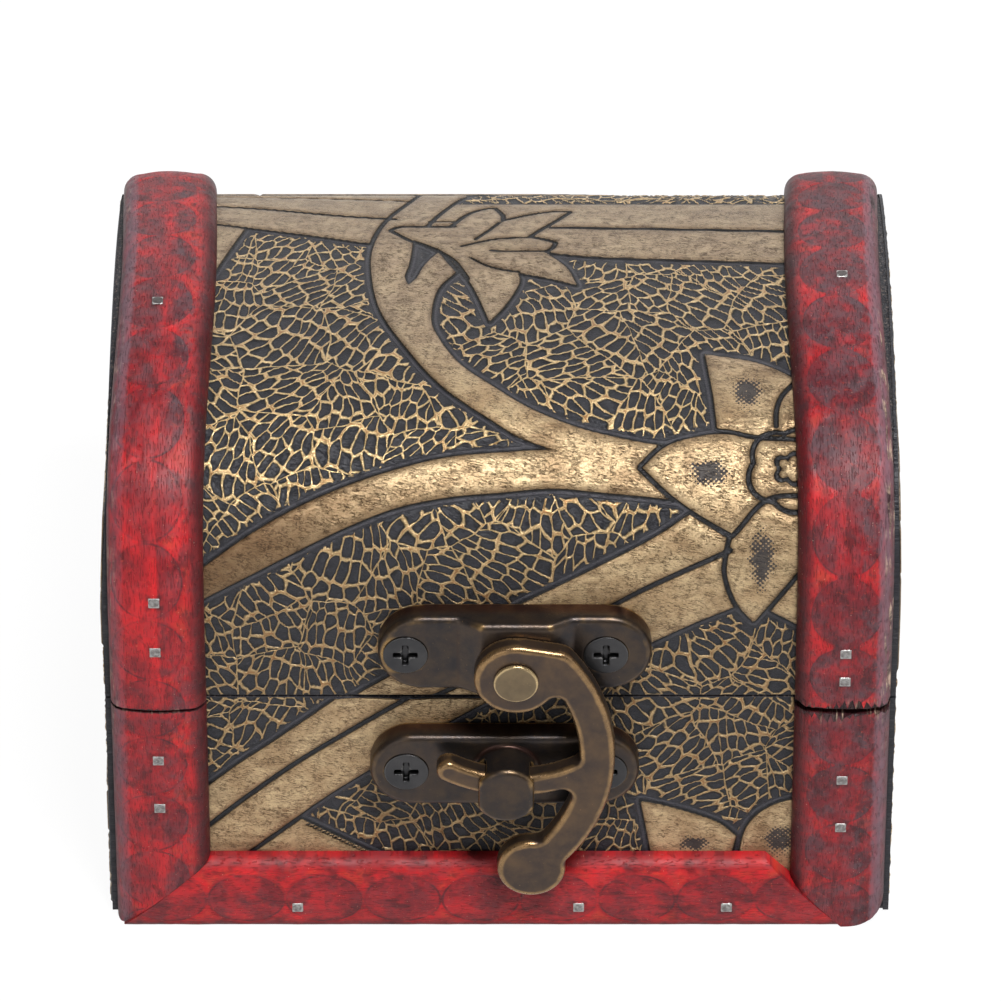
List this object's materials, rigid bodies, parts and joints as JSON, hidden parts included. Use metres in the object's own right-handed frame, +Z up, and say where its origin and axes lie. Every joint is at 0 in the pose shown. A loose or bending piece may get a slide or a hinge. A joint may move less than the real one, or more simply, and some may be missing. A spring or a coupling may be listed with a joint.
{
  "type": "keepsake chest",
  "caption": "Small arch-lidded wooden keepsake chest in embossed leathercloth with stained strips, brads, butt hinges and a bronze swing latch.",
  "frame": {"origin": "middle of the underside of the box, between its outer boards", "axes": "+X along the length to the right seen from the front, +Y from front to back, +Z up"},
  "size_m": [0.0782, 0.0686, 0.0591],
  "materials": {
    "raw_wood": "bare sanded board",
    "stained_wood": "red mahogany stain, satin, rubbed pale along the edges",
    "embossed_leathercloth": "embossed, black ground rubbed with antique gold",
    "antique_bronze": "dark antique plating, bright on worn edges",
    "bright_steel": "bright cut brads"
  },
  "bodies": {
    "base": {"base_bottom": "raw_wood", "base_front_board": "raw_wood", "base_back_board": "raw_wood", "base_left_end": "raw_wood", "base_right_end": "raw_wood", "base_front_cover": "embossed_leathercloth", "base_back_cover": "embossed_leathercloth", "base_left_cover": "embossed_leathercloth", "base_right_cover": "embossed_leathercloth", "base_front_left_strip": "stained_wood", "base_front_right_strip": "stained_wood", "base_back_left_strip": "stained_wood", "base_back_right_strip": "stained_wood", "base_front_rail": "stained_wood", "base_back_rail": "stained_wood", "base_brads": "bright_steel", "left_hinge_box_leaf": "antique_bronze", "right_hinge_box_leaf": "antique_bronze", "left_hinge_pin": "antique_bronze", "right_hinge_pin": "antique_bronze", "hinge_box_nails": "antique_bronze", "keeper_plate": "antique_bronze", "keeper_screws": "antique_bronze"},
    "lid": {"lid_shell": "raw_wood", "lid_left_end": "raw_wood", "lid_right_end": "raw_wood", "lid_wrap_cover": "embossed_leathercloth", "lid_left_cover": "embossed_leathercloth", "lid_right_cover": "embossed_leathercloth", "lid_left_strip": "stained_wood", "lid_right_strip": "stained_wood", "lid_brads": "bright_steel", "left_hinge_lid_leaf": "antique_bronze", "right_hinge_lid_leaf": "antique_bronze", "hinge_lid_nails": "antique_bronze", "latch_plate": "antique_bronze", "latch_screws": "antique_bronze", "latch_rivet": "antique_bronze"},
    "hook": {"latch_hook": "antique_bronze"}
  },
  "joints": [
    {"name": "lid_hinge", "type": "hinge", "parent": "base", "child": "lid", "pos_m": [0, 0.031, 0.0274], "axis": [-1, 0, 0], "range_deg": [0, 100]},
    {"name": "hook_swing", "type": "hinge", "parent": "lid", "child": "hook", "pos_m": [0.0015, -0.03431, 0.0337], "axis": [0, -1, 0], "range_deg": [0, 130]}
  ]
}
